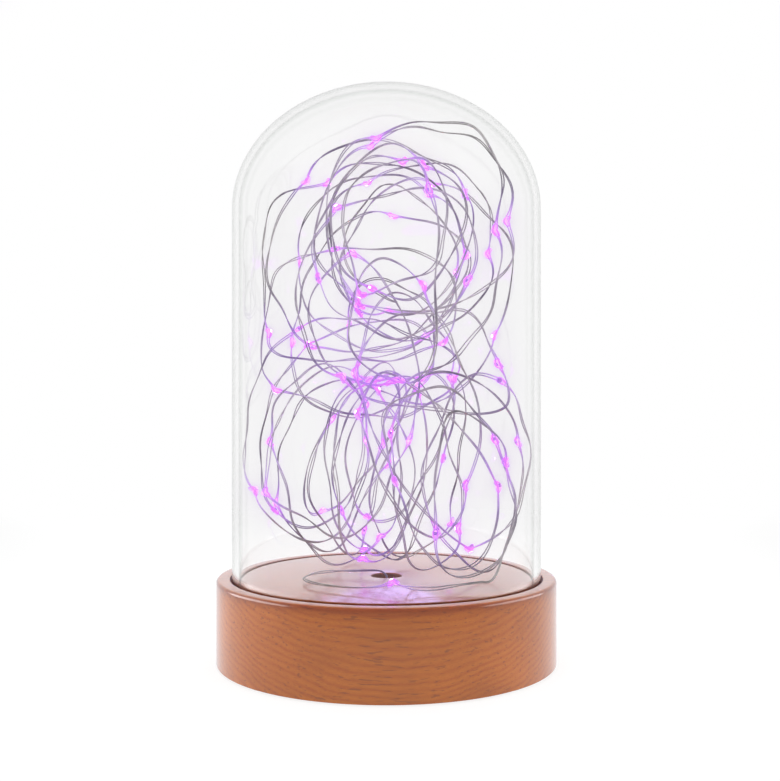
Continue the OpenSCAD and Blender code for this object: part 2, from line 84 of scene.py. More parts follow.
# Loops in order along the wire: depth, centre across, centre height, half width, half height, lean
LOOPS = [
    (-41, 4, 56, 14, 22, 0), (-37, 12, 66, 16, 32, -20), (-33, -6, 65, 18, 31, 24),
    (-24, 2, 70, 17, 36, -10), (-38, 2, 138, 20, 30, 0), (-35, 2, 154, 19, 20, 0),
    (-28, 2, 150, 24, 25, 10), (-26, 2, 147, 32, 30, -8), (-21, -4, 122, 42, 26, -6),
    (-18, 20, 67, 20, 32, -20), (-15, 32, 67, 22, 33, -10), (-12, 4, 67, 17, 34, 18),
    (-6, -6, 67, 18, 34, -18), (0, -32, 68, 22, 34, 12), (-21, 12, 142, 32, 34, -10),
    (-5, 15, 164, 42, 40, -10), (-1, 2, 150, 24, 24, 10), (2, -12, 152, 50, 44, 12),
    (3, -24, 132, 36, 26, -10), (15, 0, 118, 52, 22, 5), (1, -38, 68, 22, 34, -8),
    (8, -10, 68, 18, 35, 18), (10, 6, 68, 17, 34, -16), (14, 2, 68, 17, 34, 16),
    (16, 36, 67, 22, 33, -12), (26, 4, 69, 16, 36, 14), (15, 24, 130, 26, 30, 20),
    (24, 12, 154, 38, 36, -8), (25, 4, 150, 24, 24, 0), (30, -8, 148, 36, 38, 14),
    (36, 2, 118, 38, 24, -6), (27, -22, 65, 20, 31, 20), (34, 0, 69, 17, 35, -18),
    (36, 12, 71, 16, 36, 14), (41, 4, 63, 16, 30, -8), (36, 7, 150, 24, 30, 0),
    (41, 2, 154, 18, 20, 0)]
LOOP_COUNT = len(LOOPS) - 1
RUN_STEPS = len(RUN_ROUTE) * RUN_RINGS
ALL_STEPS = RUN_STEPS + LOOP_COUNT * LOOP_RINGS

# Leads inside the base, in millimetres
RED_ROUTE = [(31.6, 21.4, 14), (33.2, 21.4, 14), (35.2, 18.6, 14), (35.8, 12, 13.6), (35.4, 2, 13.2),
    (34.6, -8, 13), (32.4, -16, 13), (28, -22, 13.4), (21, -25.8, 14), (16, -26.4, 14.2),
    (13.2, -26.5, 13.2), (12.2, -26.5, 11.4), (12.2, -26.5, 9.7)]
BLACK_ROUTE = [(-31.6, -9.4, 14), (-33.2, -9.4, 14), (-34.8, -11.4, 14), (-34.6, -15, 13.8),
    (-32, -19.5, 13.6), (-27.5, -23, 13.6), (-21, -25.8, 14), (-16, -26.4, 14.2),
    (-13.2, -26.5, 13.2), (-12.2, -26.5, 11.4), (-12.2, -26.5, 9.7)]
STRING_ROUTE = [(0, -26.5, 9.7), (0, -26.5, 13), (0, -26.5, 17.2), (0, -25.2, 20), (0, -22, 21.6),
    (0, -16, 21.9), (0, -9, 21.9), (0, -4.6, 22.4), (0, -1.4, 24.4), (0, 0, 27), (0, 0, 28.2)]
LEAD_D = 1.4

# Springs behind the cells, in millimetres: the row of each, and the side that it is on
SPRING_D = 0.8
SPRING_ROWS = [(-9.4, -1), (6, 1), (21.4, -1)]

# Greys of the studio by direction, from the front and the sides to behind the object
STUDIO_SHADES = [(0.15, (0.62, 0.62, 0.62)), (0.84, (1, 1, 1))]


# Camera

def add_camera():
    """Level camera with a 50 mm lens."""
    data = bpy.data.cameras.new("camera")
    data.lens = 50
    data.sensor_width = 36
    data.clip_start = 0.01
    camera = bpy.data.objects.new("camera", data)
    camera.location = [v * MM for v in CAMERA_PLACE]
    camera.rotation_euler = (math.radians(90), 0, 0)
    bpy.context.scene.collection.objects.link(camera)
    bpy.context.scene.camera = camera


# Mesh helpers

def add_mesh(name, points, faces):
    """A new smooth mesh object from points in millimetres."""
    mesh = bpy.data.meshes.new(name)
    mesh.from_pydata((np.asarray(points, float) * MM).tolist(), [], [tuple(f) for f in faces])
    mesh.validate()
    mesh.shade_smooth()
    piece = bpy.data.objects.new(name, mesh)
    bpy.context.scene.collection.objects.link(piece)
    return piece


def rounded(corners, steps):
    """Outline with an arc of the third value's radius at each corner."""
    outline = []
    count = len(corners)
    for i, (r, z, radius) in enumerate(corners):
        here = np.array([r, z], float)
        before = unit(np.array(corners[i - 1][:2], float) - here)
        after = unit(np.array(corners[(i + 1) % count][:2], float) - here)
        half = math.acos(np.clip(before @ after, -1, 1)) / 2
        reach = radius / math.tan(half)
        centre = here + unit(before + after) * radius / math.sin(half)
        first = here + before * reach - centre
        last = here + after * reach - centre
        for k in range(steps + 1):
            f = k / steps
            outline.append(centre + unit(first * (1 - f) + last * f) * radius)
    return outline


def lathe(name, outline, segments):
    """A closed outline of radius and height, turned about Z; points on the axis become poles."""
    on_axis = 1e-6
    points = []
    rings = []
    for r, z in outline:
        if r < on_axis:
            rings.append([len(points)] * segments)
            points.append((0, 0, z))
            continue
        rings.append(list(range(len(points), len(points) + segments)))
        for k in range(segments):
            a = 2 * math.pi * k / segments
            points.append((r * math.cos(a), r * math.sin(a), z))
    faces = []
    for i in range(len(rings)):
        low = rings[i]
        high = rings[(i + 1) % len(rings)]
        for k in range(segments):
            n = (k + 1) % segments
            loop = [low[k], low[n], high[n], high[k]]
            face = [v for j, v in enumerate(loop) if v != loop[j - 1]]
            if len(face) > 2:
                faces.append(face)
    return add_mesh(name, points, faces)


def unit(v):
    return v / np.linalg.norm(v, axis=-1, keepdims=True)


def headings(points):
    return unit(np.gradient(points, axis=0))


def distances(points):
    """Distance of each point from the first, along the points."""
    return np.concatenate([[0], np.cumsum(np.linalg.norm(np.diff(points, axis=0), axis=1))])


def side_frames(points):
    """Two side directions at each point, carried along without twist."""
    upright = 0.9
    ahead = headings(points)
    side = np.zeros_like(ahead)
    start = np.array([0, 0, 1.0]) if abs(ahead[0][2]) < upright else np.array([1.0, 0, 0])
    for i, h in enumerate(ahead):
        start = start - (start @ h) * h
        start = start / np.linalg.norm(start)
        side[i] = start
    return side, np.cross(ahead, side)


def ring_faces(rings, sides, first=0):
    """Faces over rings of points, closed at both ends; the points count from first."""
    faces = []
    for i in range(rings - 1):
        for j in range(sides):
            a = first + i * sides + j
            b = first + i * sides + (j + 1) % sides
            faces.append((a, b, b + sides, a + sides))
    last = first + (rings - 1) * sides
    faces.append(tuple(first + j for j in reversed(range(sides))))
    faces.append(tuple(last + j for j in range(sides)))
    return faces


def tube_points(points, diameter, sides):
    """Rings of a round tube along points."""
    side, up = side_frames(points)
    angles = 2 * np.pi * np.arange(sides) / sides
    ring = np.cos(angles)[None, :, None] * side[:, None, :] + np.sin(angles)[None, :, None] * up[:, None, :]
    return (points[:, None, :] + diameter / 2 * ring).reshape(-1, 3)


def add_tubes(name, paths, diameter, sides):
    """One mesh object of several tubes."""
    points = []
    faces = []
    count = 0
    for path in paths:
        points.append(tube_points(path, diameter, sides))
        faces.extend(ring_faces(len(path), sides, count))
        count += len(points[-1])
    return add_mesh(name, np.vstack(points), faces)


def four_around(rows, u):
    """The four rows around place u, as a curve needs them, and how far u is between the middle two."""
    rows = np.asarray(rows, float)
    last = len(rows) - 1
    k = np.clip(np.floor(u).astype(int), 0, last - 1)
    return rows[np.maximum(k - 1, 0)], rows[k], rows[k + 1], rows[np.minimum(k + 2, last)], (u - k)[:, None]


def through(route, u):
    """Round curve through free points, at u spans along them."""
    a, b, c, d, f = four_around(route, u)
    return 0.5 * (2 * b + (c - a) * f + (2 * a - 5 * b + 4 * c - d) * f ** 2
        + (3 * b - a - 3 * c + d) * f ** 3)


def spans(route, per_span):
    return through(route, np.linspace(0, len(route) - 1, (len(route) - 1) * per_span + 1))


# Light string

def loop_row(t):
    """Smooth row of the loops at t loops along the string."""
    a, b, c, d, f = four_around(LOOPS, t)
    return ((1 - f) ** 3 * a + (3 * f ** 3 - 6 * f ** 2 + 4) * b
        + (-3 * f ** 3 + 3 * f ** 2 + 3 * f + 1) * c + f ** 3 * d) / 6


def turned(x, y, angle):
    a = np.radians(angle)
    return x * np.cos(a) - y * np.sin(a), x * np.sin(a) + y * np.cos(a)


def crown_share(z, crown_h):
    """Share of the full width that is left at height z, under a crown of height crown_h."""
    rise = np.clip((z - SPRING_Z) / crown_h, 0, CROWN_TOP)
    return np.sqrt(1 - rise ** 2)


def loop_points(t):
    """The loops, fanned and turned at the waist, with a soft limit inside the glass."""
    wander = 1.6
    wander_x_rate = 970
    wander_x_start = 120
    wander_z_rate = 1190
    wander_z_start = 240
    plane_turn = -20
    plane_fan = 0.4
    waist_z = 50
    waist_h = 80
    waist_turn = 40
    keep_gap = 1
    keep_top_gap = 0.6
    keep_r = GLASS_R - GLASS_T - keep_gap
    keep_h = CROWN_H - GLASS_T - keep_top_gap
    soft = 0.12
    least = 1e-6
    depth, across, height, half_w, half_h, lean = loop_row(t).T
    a = np.radians(360 * t - 90)
    u = half_w * np.cos(a)
    w = half_h * np.sin(a)
    lean = np.radians(lean)
    wander_x = wander * np.sin(np.radians(wander_x_rate * t + wander_x_start))
    wander_z = wander * np.sin(np.radians(wander_z_rate * t + wander_z_start))
    x = across + u * np.cos(lean) - w * np.sin(lean) + wander_x
    z = height + u * np.sin(lean) + w * np.cos(lean) + wander_z
    fan = np.radians(plane_turn + plane_fan * depth)
    y = depth + x * np.sin(fan)
    x = x * np.cos(fan)
    ease = np.clip((z - waist_z) / waist_h, 0, 1)
    x, y = turned(x, y, waist_turn * (1 - ease ** 2 * (3 - 2 * ease)))
    q = np.maximum(np.hypot(x, y) / (keep_r * crown_share(z, keep_h)), least)
    shrink = np.where(q < 1 - soft, 1, (1 - soft + soft * (1 - np.exp(-(q - 1 + soft) / soft))) / q)
    return np.stack([x * shrink, y * shrink, z], 1)


def string_at(steps):
    """Points of the string, from the wire hole over the floor run to the end of the loops."""
    steps = np.asarray(steps, float)
    route = list(RUN_ROUTE) + [tuple(loop_points(np.zeros(1))[0])]
    run = through(route, np.minimum(steps, RUN_STEPS) / RUN_RINGS)
    loops = loop_points(np.maximum(steps - RUN_STEPS, 0) / LOOP_RINGS)
    return np.where((steps < RUN_STEPS)[:, None], run, loops)


def led_steps():
    """Places of the drops, a steady distance apart along the wire."""
    rings = np.arange(ALL_STEPS + 1)
    places = LED_FIRST + LED_PITCH * np.arange(LED_COUNT)
    return np.interp(places, distances(string_at(rings)), rings)


def inside_glass(points):
    """Draws points in where they would come too close to the glass."""
    room = 0.9
    inner_r = GLASS_R - GLASS_T - room
    inner_h = CROWN_H - GLASS_T - room
    least = 1e-6
    reach = np.maximum(np.hypot(points[:, 0], points[:, 1]), least)
    shrink = np.minimum(1, inner_r * crown_share(points[:, 2], inner_h) / reach)
    return points * np.stack([shrink, shrink, np.ones_like(shrink)], 1)


def string_path():
    """Fine points of the hand-laid wire, kinked at each drop, with the index and the way out of each kink."""
    bend = 2.6
    fine = 6
    near_glass = 45
    below_crown = 30
    middle = np.array([0, 0, SPRING_Z - below_crown])
    sway = 0.3
    sway_waves = 4
    sway_l = (16, 48)
    sway_grows_l = 30
    draw = random.Random(7)
    leds = led_steps()
    steps = np.unique(np.concatenate([np.arange(0, ALL_STEPS * fine + 1) / fine, leds]))
    points = string_at(steps)
    along = distances(points)
    index = np.searchsorted(steps, leds)
    side, up = side_frames(points)
    moved = points.copy()
    ways = []
    for i in index:
        a = draw.uniform(0, 2 * math.pi)
        way = math.cos(a) * side[i] + math.sin(a) * up[i]
        if points[i][2] < RIM_Z + DROP_D:
            way = np.array([0, 0, 1.0])
        elif np.hypot(points[i][0], points[i][1]) > near_glass or points[i][2] > SPRING_Z:
            way = unit(middle - points[i])
        moved += bend * np.exp(-np.abs(along - along[i]) / BEND_L)[:, None] * way
        ways.append(way)
    free = sway * np.clip((along - along[RUN_STEPS * fine]) / sway_grows_l, 0, 1)
    for way in (side, up):
        for k in range(sway_waves):
            phase = 2 * np.pi * along / draw.uniform(*sway_l) + draw.uniform(0, 2 * np.pi)
            moved += (free * np.sin(phase))[:, None] * way
    return inside_glass(moved), index, along, ways


def to_nearest_drop(along, index):
    """Distance of each point from the nearest drop, along the wire."""
    return np.min(np.abs(along[:, None] - along[index][None, :]), axis=1)


def strands(points, index, along):
    """Two thin wires, loosely twisted, that run side by side and part around the chip in each drop."""
    twist_l = 52.0
    twist_sway = 2.2
    wave_count = 5
    wave_l = (20, 90)
    full_turn = 6.28
    apart_from = -0.1
    drawn_in = 0.4
    drawn_in_l = 3
    parted = 0.45
    parted_l = 1.8
    draw = random.Random(11)
    side, up = side_frames(points)
    waves = [(draw.uniform(*wave_l), draw.uniform(0, full_turn)) for k in range(wave_count)]
    sway = sum(np.sin(2 * np.pi * along / l + p) for l, p in waves) / wave_count
    half = STRAND_D * (0.5 + np.clip(sway - apart_from, 0, 1))
    near = to_nearest_drop(along, index)
    half = half * (1 - drawn_in * np.exp(-near / drawn_in_l)) + parted * np.exp(-(near / parted_l) ** 2)
    angle = 2 * np.pi * along / twist_l + twist_sway * sway
    way = np.cos(angle)[:, None] * side + np.sin(angle)[:, None] * up
    return [points + half[:, None] * way, points - half[:, None] * way]


def placed(shape_points, points, index, ways, uneven):
    """Copies of a small shape at the drops: its Z along the wire, its X out of the kink, and its own size."""
    larger = 0.2
    draw = random.Random(3)
    ahead = headings(points)
    copies = []
    for i, way in zip(index, ways):
        x = unit(way - np.dot(way, ahead[i]) * ahead[i])
        y = np.cross(ahead[i], x)
        size = np.array([draw.uniform(1 - uneven, 1 + larger * uneven) for k in range(3)])
        copies.append(points[i] + (shape_points * size) @ np.stack([x, y, ahead[i]]))
    return copies


def mark_lit(piece, values):
    """Keeps how strongly each point is lit by the chips, for the materials."""
    shade = piece.data.color_attributes.new("lit", "FLOAT_COLOR", "POINT")
    values = np.asarray(values, np.float32)
    shade.data.foreach_set("color", np.stack([values, values, values, np.ones_like(values)], 1).ravel())


def add_copies(name, shape_points, shape_faces, copies):
    points = np.vstack(copies)
    step = len(shape_points)
    faces = [tuple(v + k * step for v in f) for k in range(len(copies)) for f in shape_faces]
    return add_mesh(name, points, faces)


def drop_shape():
    """A drop of clear resin: a spindle, fuller over the chip, that follows the kink onto the wire."""
    sides = 12
    rings = 9
    lean = 0.2
    fall = 0.42
    end_share = 0.16
    fullness = 2.2
    flatness = 0.86
    points = []
    for i in range(rings):
        f = 2 * i / (rings - 1) - 1
        r = DROP_D / 2 * (end_share + (1 - end_share) * math.sqrt(max(0, 1 - abs(f) ** fullness)))
        for j in range(sides):
            a = 2 * math.pi * j / sides
            x = r * math.cos(a) + lean * (1 - f * f) - fall * abs(f) * DROP_L / 2
            points.append((x, flatness * r * math.sin(a), f * DROP_L / 2))
    return np.array(points), ring_faces(rings, sides)


def chip_shape():
    """A small lit chip beside the wire, with cut corners."""
    out = 0.75
    half_l = 0.62
    half_w = 0.42
    thick = 0.28
    cut = 0.12
    face_share = 0.8
    ring = [(half_w - cut, -half_l), (half_w, -half_l + cut), (half_w, half_l - cut), (half_w - cut, half_l),
        (-half_w + cut, half_l), (-half_w, half_l - cut), (-half_w, -half_l + cut), (-half_w + cut, -half_l)]
    points = [(out - thick, y, z) for y, z in ring] + [(out, face_share * y, face_share * z) for y, z in ring]
    return np.array(points), ring_faces(2, len(ring))


def light_on_wire(points, index, along):
    """How strongly the wire is lit at each point: by its own drop, and by all the drops around it."""
    along_l = 4.0
    around_l = 16.0
    around = 0.085
    apart = np.linalg.norm(points[:, None, :] - points[index][None, :, :], axis=2)
    shared = np.sum(np.exp(-(apart / around_l) ** 2), axis=1)
    return np.clip(np.exp(-to_nearest_drop(along, index) / along_l) + around * shared, 0, 1)


def light_in_drop(shape):
    """How strongly a drop is lit at each point: most in its middle, on the side of the chip."""
    falloff = 1.5
    chip_side = 0.4
    middle = 1 - np.abs(shape[:, 2] / (DROP_L / 2)) ** falloff
    return middle * (1 - chip_side + chip_side * shape[:, 0] / (DROP_D / 2))


def hot_chips(points, index):
    """Which chips are seen white-hot: about a quarter of them, and those close to the floor."""
    share = 0.25
    above_floor = 12
    low = RIM_Z + above_floor
    draw = random.Random(5)
    return [1.0 if draw.random() < share or points[i][2] < low else 0.0 for i in index]


def add_string():
    """The string with its drops and their chips."""
    sides = 6
    uneven = 0.2
    points, index, along, ways = string_path()
    wire = add_tubes("light_string", strands(points, index, along), STRAND_D, sides)
    mark_lit(wire, np.tile(np.repeat(light_on_wire(points, index, along), sides), 2))
    shape, faces = drop_shape()
    drops = add_copies("string_drops", shape, faces, placed(shape, points, index, ways, uneven))
    mark_lit(drops, np.tile(light_in_drop(shape), LED_COUNT))
    shape, faces = chip_shape()
    chips = add_copies("string_chips", shape, faces, placed(shape, points, index, ways, 0))
    mark_lit(chips, np.repeat(hot_chips(points, index), len(shape)))
    for piece in (wire, drops, chips):
        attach(piece, "base")
    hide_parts("string_run", "front_loops", "rear_loops")
    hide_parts("led_drops")
    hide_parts("led_chips")
    return wire, drops, chips


# Material helpers

def new_material(name):
    """A material with a Principled shader; returns the material, its tree and the shader."""
    material = bpy.data.materials.new(name)
    material.use_nodes = True
    tree = material.node_tree
    return material, tree, tree.nodes["Principled BSDF"]


def put(node, **values):
    """Sets a node's sockets; a double underscore in a name stands for a space."""
    for name, value in values.items():
        node.inputs[name.replace("__", " ")].default_value = value


def add_node(tree, kind, family="ShaderNode", **settings):
    node = tree.nodes.new(family + kind)
    for name, value in settings.items():
        setattr(node, name, value)
    return node


def noise(tree, coords, stretch, detail=3.0, roughness=0.55):
    """Noise over object coordinates, with its own scale along each axis."""
    mapping = add_node(tree, "Mapping")
    put(mapping, Scale=stretch)
    texture = add_node(tree, "TexNoise")
    put(texture, Scale=1, Detail=detail, Roughness=roughness)
    tree.links.new(coords, mapping.inputs["Vector"])
    tree.links.new(mapping.outputs["Vector"], texture.inputs["Vector"])
    return texture.outputs["Fac"]


def ramp(tree, value, stops):
    """Colour ramp with (place, colour) stops."""
    node = add_node(tree, "ValToRGB")
    elements = node.color_ramp.elements
    while len(elements) < len(stops):
        elements.new(0.5)
    for element, (place, colour) in zip(elements, stops):
        element.position = place
        element.color = (*colour, 1)
    tree.links.new(value, node.inputs["Fac"])
    return node.outputs["Color"]


def mix_colour(tree, factor, first, second, mode="MIX"):
    node = add_node(tree, "Mix", data_type="RGBA", blend_type=mode)
    for socket, value in ((node.inputs[0], factor), (node.inputs[6], first), (node.inputs[7], second)):
        if isinstance(value, bpy.types.NodeSocket):
            tree.links.new(value, socket)
        elif isinstance(value, tuple):
            socket.default_value = (*value, 1)
        else:
            socket.default_value = value
    return node.outputs[2]


def scaled(tree, value, low, high):
    """A value from 0..1 brought to low..high."""
    node = add_node(tree, "MapRange")
    put(node, To__Min=low, To__Max=high)
    tree.links.new(value, node.inputs["Value"])
    return node.outputs["Result"]


def share_of(tree, value, low, high, **settings):
    """A value from low..high brought to 0..1."""
    node = add_node(tree, "MapRange", **settings)
    put(node, From__Min=low, From__Max=high)
    tree.links.new(value, node.inputs["Value"])
    return node.outputs["Result"]


def bump(tree, shader, height, strength, distance):
    node = add_node(tree, "Bump")
    put(node, Strength=strength, Distance=distance)
    tree.links.new(height, node.inputs["Height"])
    tree.links.new(node.outputs["Normal"], shader.inputs["Normal"])


def object_coords(tree):
    return add_node(tree, "TexCoord").outputs["Object"]


def along_axis(tree, vector, axis):
    node = add_node(tree, "SeparateXYZ")
    tree.links.new(vector, node.inputs["Vector"])
    return node.outputs[axis]


def lit_places(tree):
    return add_node(tree, "Attribute", attribute_name="lit").outputs["Fac"]


def mix_clear(tree, shader, share, colour):
    """Makes a surface transparent where share is 1."""
    clear = add_node(tree, "BsdfTransparent")
    put(clear, Color=(*colour, 1))
    mix = add_node(tree, "MixShader")
    tree.links.new(share, mix.inputs[0])
    tree.links.new(shader.outputs["BSDF"], mix.inputs[1])
    tree.links.new(clear.outputs["BSDF"], mix.inputs[2])
    tree.links.new(mix.outputs["Shader"], tree.nodes["Material Output"].inputs["Surface"])


def pass_light(tree, shader, colour):
    """Lets lamp light through a clear piece, to what it covers."""
    mix_clear(tree, shader, add_node(tree, "LightPath").outputs["Is Shadow Ray"], colour)


# Materials

def slanted_grain(tree, coords):
    """Coordinates for the grain, which sways a little and crosses the side at a slant."""
    ring_tilt = math.radians(26)
    sway = 0.006
    lift = add_node(tree, "CombineXYZ")
    tree.links.new(scaled(tree, noise(tree, coords, (9, 30, 30), 2), -sway, sway), lift.inputs["Z"])
    moved = add_node(tree, "VectorMath", operation="ADD")
    tree.links.new(coords, moved.inputs[0])
    tree.links.new(lift.outputs["Vector"], moved.inputs[1])
    tilt = add_node(tree, "Mapping")
    put(tilt, Rotation=(-ring_tilt, 0, 0))
    tree.links.new(moved.outputs["Vector"], tilt.inputs["Vector"])
    return tilt.outputs["Vector"]


def growth_rings(tree, coords, grain):
    """Colour of the growth rings, quieter in some places."""
    rings = add_node(tree, "TexWave", wave_type="BANDS", bands_direction="Z", wave_profile="SIN")
    put(rings, Scale=150, Distortion=4.5, Detail=4, Detail__Scale=0.35, Detail__Roughness=0.6)
    tree.links.new(grain, rings.inputs["Vector"])
    colour = ramp(tree, rings.outputs["Fac"],
        [(0.0, (0.295, 0.062, 0.003)), (0.4, (0.34, 0.083, 0.004)), (1.0, (0.368, 0.097, 0.005))])
    faint = noise(tree, coords, (75, 260, 260), 3)
    return mix_colour(tree, scaled(tree, faint, -0.5, 1.3), colour, (0.35, 0.088, 0.004))


def beech():
    """Satin beech: fibres along X, tilted growth rings, short dark ray flecks and a painted shade along the
    top edge.
    """
    edge_shade_from_z = 22
    material, tree, shader = new_material("satin_beech")
    coords = object_coords(tree)
    grain = slanted_grain(tree, coords)
    patches = noise(tree, coords, (22, 60, 60), 3)
    patch_colour = ramp(tree, patches, [(0.3, (0.84, 0.82, 0.8)), (0.7, (1.08, 1.12, 1.14))])
    colour = mix_colour(tree, 1.0, growth_rings(tree, coords, grain), patch_colour, "MULTIPLY")
    flecks = noise(tree, grain, (170, 900, 1500), 2, 0.5)
    fleck_mask = ramp(tree, flecks, [(0.59, (0, 0, 0)), (0.68, (1, 1, 1))])
    fleck_share = mix_colour(tree, 1.0, fleck_mask, (0.62, 0.62, 0.62), "MULTIPLY")
    colour = mix_colour(tree, fleck_share, colour, (0.16, 0.04, 0.008))
    fibres = noise(tree, coords, (130, 3200, 3200), 2, 0.6)
    fibre_colour = ramp(tree, fibres, [(0.3, (0.9, 0.89, 0.88)), (0.65, (1.05, 1.05, 1.05))])
    colour = mix_colour(tree, 1.0, colour, fibre_colour, "MULTIPLY")
    # Painted shade: a dark band in the colour just below the top of the rim, standing in for the shade on the
    # rounded edge.
    place = share_of(tree, along_axis(tree, coords, "Z"), edge_shade_from_z * MM, RIM_Z * MM)
    painted_edge_shade = ramp(tree, place, [
        (0.42, (1, 1, 1)), (0.58, (0.93, 0.9, 0.88)), (0.737, (0.8, 0.7, 0.64)),
        (0.895, (0.58, 0.38, 0.3)), (0.96, (0.62, 0.42, 0.35)), (0.995, (1, 1, 1))])
    colour = mix_colour(tree, 1.0, colour, painted_edge_shade, "MULTIPLY")
    tree.links.new(colour, shader.inputs["Base Color"])
    tree.links.new(scaled(tree, patches, 0.36, 0.5), shader.inputs["Roughness"])
    put(shader, Specular__IOR__Level=0.15, Coat__Weight=1.0, Coat__Roughness=0.14, Coat__IOR=1.53,
        Sheen__Weight=0.28, Sheen__Roughness=0.3, Sheen__Tint=(0.8, 0.84, 1.0, 1))
    bump(tree, shader, fleck_mask, 0.12, 0.00008)
    return material


def clear_glass():
    """Clear glass with painted grey reflections where it is looked at along its surface, and a painted grey
    line a little inside each edge.
    """
    material, tree, shader = new_material("clear_glass")
    edge = add_node(tree, "LayerWeight")
    # Painted reflection: grey in the glass's colour towards grazing views, with a thin grey line just inside
    # each edge.
    shade = ramp(tree, edge.outputs["Facing"],
        [(0.63, (0.985, 0.985, 0.985)), (0.695, (0.87, 0.88, 0.87)), (0.75, (0.96, 0.96, 0.96)),
        (0.86, (0.66, 0.69, 0.67)), (1.0, (0.46, 0.49, 0.47))])
    tree.links.new(shade, shader.inputs["Base Color"])
    put(shader, Roughness=0.0, IOR=1.46, Transmission__Weight=1.0)
    pass_light(tree, shader, (0.96, 0.96, 0.96))
    return material


def tinned_wire():
    """Thin tinned wire, bright and tarnished by stretches, with a painted violet glow and tint near each drop
    that stands in for the drops' light on it.
    """
    material, tree, shader = new_material("tinned_wire")
    tarnish = noise(tree, object_coords(tree), (45, 45, 45), 4, 0.65)
    colour = ramp(tree, tarnish,
        [(0.36, (0.17, 0.16, 0.16)), (0.48, (0.46, 0.44, 0.43)), (0.62, (0.74, 0.72, 0.7))])
    lit = lit_places(tree)
    # Painted light: a violet glow and a lavender tint in the wire's colour where the drops' light falls on
    # it.
    glow = ramp(tree, lit, [(0.03, (0, 0, 0)), (0.16, (0.05, 0.03, 0.12)), (0.4, (0.24, 0.14, 0.52)),
        (0.66, (0.52, 0.17, 0.8)), (0.9, (0.85, 0.2, 0.9))])
    tree.links.new(mix_colour(tree, lit, colour, (0.5, 0.3, 0.6)), shader.inputs["Base Color"])
    tree.links.new(glow, shader.inputs["Emission Color"])
    tree.links.new(scaled(tree, tarnish, 0.3, 0.42), shader.inputs["Roughness"])
    put(shader, Metallic=0.5, Emission__Strength=0.7)
    return material


def lit_resin():
    """Clear resin, lit from inside: pale pink over the chip, violet towards its ends and in some drops."""
    material, tree, shader = new_material("lit_resin")
    cloud = noise(tree, object_coords(tree), (260, 260, 260), 2)
    lit = lit_places(tree)
    pink = ramp(tree, lit, [(0.0, (0.3, 0.16, 0.6)), (0.35, (0.62, 0.26, 0.9)), (0.6, (0.9, 0.36, 0.92)),
        (0.95, (1.0, 0.66, 1.0))])
    violet = ramp(tree, lit, [(0.0, (0.25, 0.16, 0.7)), (0.5, (0.48, 0.28, 1.0)), (0.95, (0.84, 0.6, 1.0))])
    share = ramp(tree, cloud, [(0.46, (0, 0, 0)), (0.6, (1, 1, 1))])
    tree.links.new(mix_colour(tree, share, pink, violet), shader.inputs["Emission Color"])
    put(shader, Base__Color=(0.84, 0.56, 0.92, 1), Roughness=0.05, IOR=1.4, Transmission__Weight=1.0,
        Emission__Strength=0.4)
    pass_light(tree, shader, (0.9, 0.75, 0.9))
    return material


def lit_chip():
    """Face of a chip: white-hot violet where it shines out of the drop, or pale pink."""
    material, tree, shader = new_material("lit_chip")
    glow = ramp(tree, lit_places(tree), [(0.0, (0.004, 0.002, 0.004)), (1.0, (0.6, 0.25, 1.0))])
    tree.links.new(glow, shader.inputs["Emission Color"])
    put(shader, Base__Color=(0.9, 0.8, 0.95, 1), Emission__Strength=260.0)
    return material


def moulded_plastic(name, dark, light, roughness):
    """Moulded plastic with a fine spark texture."""
    uneven = 0.06
    material, tree, shader = new_material(name)
    coords = object_coords(tree)
    grain = noise(tree, coords, (2600, 2600, 2600), 2)
    tone = noise(tree, coords, (60, 60, 60), 3)
    tree.links.new(ramp(tree, tone, [(0.3, dark), (0.7, light)]), shader.inputs["Base Color"])
    tree.links.new(scaled(tree, tone, roughness - uneven, roughness + uneven), shader.inputs["Roughness"])
    bump(tree, shader, grain, 0.25, 0.00012)
    return material


def plated_metal(name, dark, light, roughness):
    """Plated metal with faint scratches along X."""
    uneven = 0.08
    material, tree, shader = new_material(name)
    marks = noise(tree, object_coords(tree), (120, 2400, 2400), 3)
    tree.links.new(ramp(tree, marks, [(0.3, dark), (0.7, light)]), shader.inputs["Base Color"])
    tree.links.new(scaled(tree, marks, roughness - uneven, roughness + uneven), shader.inputs["Roughness"])
    put(shader, Metallic=1.0)
    return material


def board_laminate():
    """Green solder mask over faint copper tracks."""
    material, tree, shader = new_material("board_laminate")
    tracks = add_node(tree, "TexBrick")
    put(tracks, Scale=260, Mortar__Size=0.06, Color1=(0.012, 0.13, 0.05, 1), Color2=(0.014, 0.15, 0.055, 1),
        Mortar=(0.03, 0.24, 0.09, 1))
    tree.links.new(object_coords(tree), tracks.inputs["Vector"])
    tree.links.new(tracks.outputs["Color"], shader.inputs["Base Color"])
    put(shader, Roughness=0.32, Coat__Weight=0.4)
    return material


def cell_case():
    """Plain wrapped cell: a dark body with a pale band round the middle."""
    reach = 0.03
    dark = (0.035, 0.06, 0.085)
    pale = (0.42, 0.44, 0.45)
    material, tree, shader = new_material("cell_case")
    coords = object_coords(tree)
    place = share_of(tree, along_axis(tree, coords, "X"), -reach, reach)
    body = ramp(tree, place, [(0.0, dark), (0.44, dark), (0.45, pale), (0.55, pale), (0.56, dark)])
    tone = noise(tree, coords, (200, 200, 200), 3)
    shade = ramp(tree, tone, [(0.3, (0.88, 0.88, 0.88)), (0.7, (1.05, 1.05, 1.05))])
    tree.links.new(mix_colour(tree, 1.0, body, shade, "MULTIPLY"), shader.inputs["Base Color"])
    tree.links.new(scaled(tree, tone, 0.24, 0.34), shader.inputs["Roughness"])
    put(shader, Metallic=0.35)
    return material


def dress(piece, material):
    piece.data.materials.clear()
    piece.data.materials.append(material)


